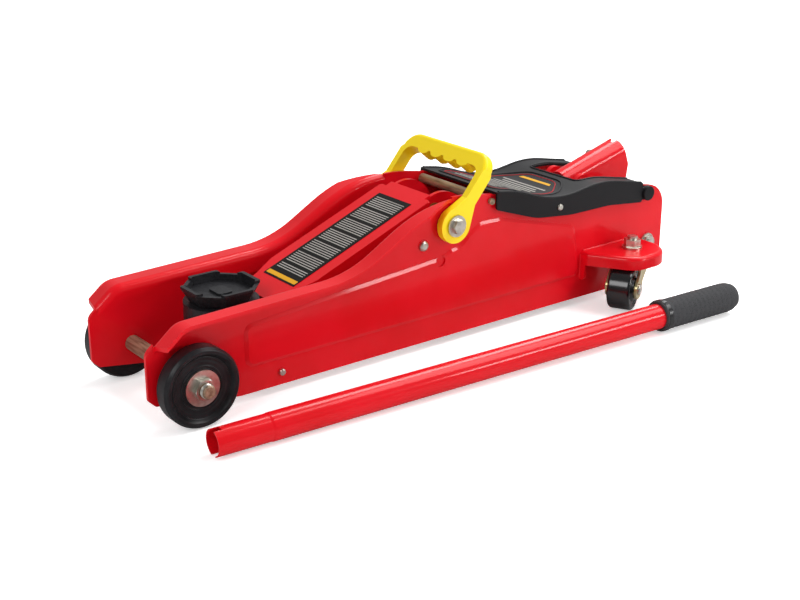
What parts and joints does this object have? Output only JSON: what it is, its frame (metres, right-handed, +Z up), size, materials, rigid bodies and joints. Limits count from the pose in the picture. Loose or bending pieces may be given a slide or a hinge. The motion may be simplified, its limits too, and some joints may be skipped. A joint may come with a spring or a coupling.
{
  "type": "car jack",
  "caption": "Low-profile hydraulic trolley jack with lifting arm, levelled saddle, casters, carry handle and a loose pump handle.",
  "frame": {"origin": "middle of the bottom of the bounding box of the jack and its loose handle, on the floor", "axes": "+X forward to the saddle, +Y to the jack's left side, where the loose handle lies, +Z up"},
  "size_m": [0.5904, 0.275, 0.1732],
  "materials": {
    "red_paint": "gloss",
    "black_paint": "satin",
    "black_iron": "satin",
    "wheel_black": "satin",
    "caster_black": "satin",
    "zinc": "bright zinc plate",
    "yellow_zinc": "yellow zinc plate",
    "tube_steel": "plain oiled steel",
    "chrome": "polished",
    "bronze": "plain",
    "yellow_plastic": "gloss",
    "foam_grip": "matt",
    "label_film": "satin"
  },
  "bodies": {
    "frame": {"side_plate_left": "red_paint", "side_plate_right": "red_paint", "front_axle": "tube_steel", "axle_washers": "zinc", "axle_nuts": "zinc", "wheel_spacers": "zinc", "front_tie_rod": "zinc", "upper_tie_rod": "tube_steel", "side_rivets": "zinc", "rear_tie_bolt": "zinc", "rear_tie_nuts": "zinc", "arm_shaft": "zinc", "handle_bolts": "zinc", "link_anchor_pins": "red_paint", "pump_block": "red_paint", "cylinder": "black_paint", "reservoir": "black_paint", "cylinder_gland": "black_paint", "return_springs": "zinc", "spring_anchors": "black_paint", "filler_plug": "zinc", "socket_pins": "zinc", "pump_barrel": "zinc", "plunger_spring": "zinc", "cover": "black_paint", "cover_pins": "black_paint", "cover_screws": "zinc", "caster_bracket_left": "red_paint", "caster_bracket_right": "red_paint", "caster_bolts": "zinc"},
    "front_wheel_left": {"front_wheel_left": "wheel_black"},
    "front_wheel_right": {"front_wheel_right": "wheel_black"},
    "caster_swivel_left": {"caster_fork_left": "yellow_zinc", "caster_axle_left": "zinc"},
    "caster_swivel_right": {"caster_fork_right": "yellow_zinc", "caster_axle_right": "zinc"},
    "caster_roller_left": {"caster_wheel_left": "caster_black"},
    "caster_roller_right": {"caster_wheel_right": "caster_black"},
    "lift_arm": {"lift_arm": "red_paint", "arm_bushes": "bronze", "arm_label": "label_film", "crank_pin": "zinc", "saddle_pin": "zinc"},
    "crank_roller": {"crank_roller": "tube_steel"},
    "saddle_carrier": {"saddle_carrier": "black_iron", "link_pin": "zinc"},
    "saddle": {"saddle": "black_iron"},
    "link_bars": {"link_bars": "red_paint"},
    "ram": {"ram": "chrome", "ram_crosshead": "black_paint"},
    "carry_handle": {"carry_handle": "yellow_plastic"},
    "handle_socket": {"handle_socket": "red_paint", "socket_screw": "zinc", "press_pin": "zinc"},
    "pump_plunger": {"pump_plunger": "chrome"},
    "release_spindle": {"release_spindle": "zinc"},
    "release_key": {"release_key": "zinc"},
    "handle_bar": {"handle_bar": "red_paint", "handle_grip": "foam_grip"}
  },
  "joints": [
    {"name": "front_wheel_left_spin", "type": "hinge", "parent": "frame", "child": "front_wheel_left", "pos_m": [0.25675, 0.03263, 0.0345], "axis": [0, 1, 0], "continuous": true},
    {"name": "front_wheel_right_spin", "type": "hinge", "parent": "frame", "child": "front_wheel_right", "pos_m": [0.25675, -0.09777, 0.0345], "axis": [0, 1, 0], "continuous": true},
    {"name": "caster_swivel_left_turn", "type": "hinge", "parent": "frame", "child": "caster_swivel_left", "pos_m": [-0.22925, 0.04193, 0.048], "axis": [0, 0, 1], "range_deg": [-33, 150]},
    {"name": "caster_swivel_right_turn", "type": "hinge", "parent": "frame", "child": "caster_swivel_right", "pos_m": [-0.22925, -0.10707, 0.048], "axis": [0, 0, 1], "range_deg": [-150, 33]},
    {"name": "caster_roller_left_spin", "type": "hinge", "parent": "caster_swivel_left", "child": "caster_roller_left", "pos_m": [-0.2085, 0.05296, 0.0215], "axis": [-0.4695, 0.8829, 0], "continuous": true},
    {"name": "caster_roller_right_spin", "type": "hinge", "parent": "caster_swivel_right", "child": "caster_roller_right", "pos_m": [-0.2085, -0.11811, 0.0215], "axis": [0.4695, 0.8829, 0], "continuous": true},
    {"name": "lift", "type": "hinge", "parent": "frame", "child": "lift_arm", "pos_m": [-0.01425, -0.03257, 0.1155], "axis": [0, -1, 0], "range_deg": [0, 72]},
    {"name": "crank_roller_spin", "type": "hinge", "parent": "lift_arm", "child": "crank_roller", "pos_m": [-0.04825, -0.03257, 0.0665], "axis": [0, 1, 0], "continuous": true},
    {"name": "carrier_level", "type": "hinge", "parent": "lift_arm", "child": "saddle_carrier", "pos_m": [0.19675, -0.03257, 0.052], "axis": [0, -1, 0], "range_deg": [-72, 0]},
    {"name": "saddle_turn", "type": "hinge", "parent": "saddle_carrier", "child": "saddle", "pos_m": [0.19535, -0.03257, 0.076], "axis": [0, 0, 1], "continuous": true},
    {"name": "link_swing", "type": "hinge", "parent": "frame", "child": "link_bars", "pos_m": [-0.00225, -0.03257, 0.0825], "axis": [0, -1, 0], "range_deg": [0, 72]},
    {"name": "ram_slide", "type": "slide", "parent": "frame", "child": "ram", "axis": [1, 0, 0], "range_m": [0, 0.07052], "deforming": ["return_springs"]},
    {"name": "carry_handle_swing", "type": "hinge", "parent": "frame", "child": "carry_handle", "pos_m": [-0.01425, -0.03257, 0.1155], "axis": [0, 1, 0], "range_deg": [-8, 8]},
    {"name": "pump_stroke", "type": "hinge", "parent": "frame", "child": "handle_socket", "pos_m": [-0.20925, -0.03257, 0.1115], "axis": [0, 1, 0], "range_deg": [0, 45]},
    {"name": "plunger_slide", "type": "slide", "parent": "frame", "child": "pump_plunger", "axis": [0, 0, 1], "range_m": [0, 0.02529], "deforming": ["plunger_spring"]},
    {"name": "release_turn", "type": "hinge", "parent": "frame", "child": "release_spindle", "pos_m": [-0.20925, -0.03257, 0.1115], "axis": [-0.2079, 0, 0.9781], "range_deg": [-360, 0]},
    {"name": "release_key_turn", "type": "hinge", "parent": "handle_socket", "child": "release_key", "pos_m": [-0.20925, -0.03257, 0.1115], "axis": [-0.9613, 0, 0.2756], "range_deg": [-360, 0]},
    {"name": "handle_lift_off", "type": "slide", "parent": "frame", "child": "handle_bar", "axis": [0, 0, 1], "range_m": [0, 0.3]}
  ],
  "couplings": [
    {"joint": "carrier_level", "follows": "lift", "ratio": -1},
    {"joint": "link_swing", "follows": "lift", "ratio": 1},
    {"joint": "ram_slide", "follows": "lift", "m_per_rad": 0.05611},
    {"joint": "plunger_slide", "follows": "pump_stroke", "m_per_rad": 0.03219},
    {"joint": "release_key_turn", "follows": "release_turn", "ratio": 1}
  ]
}
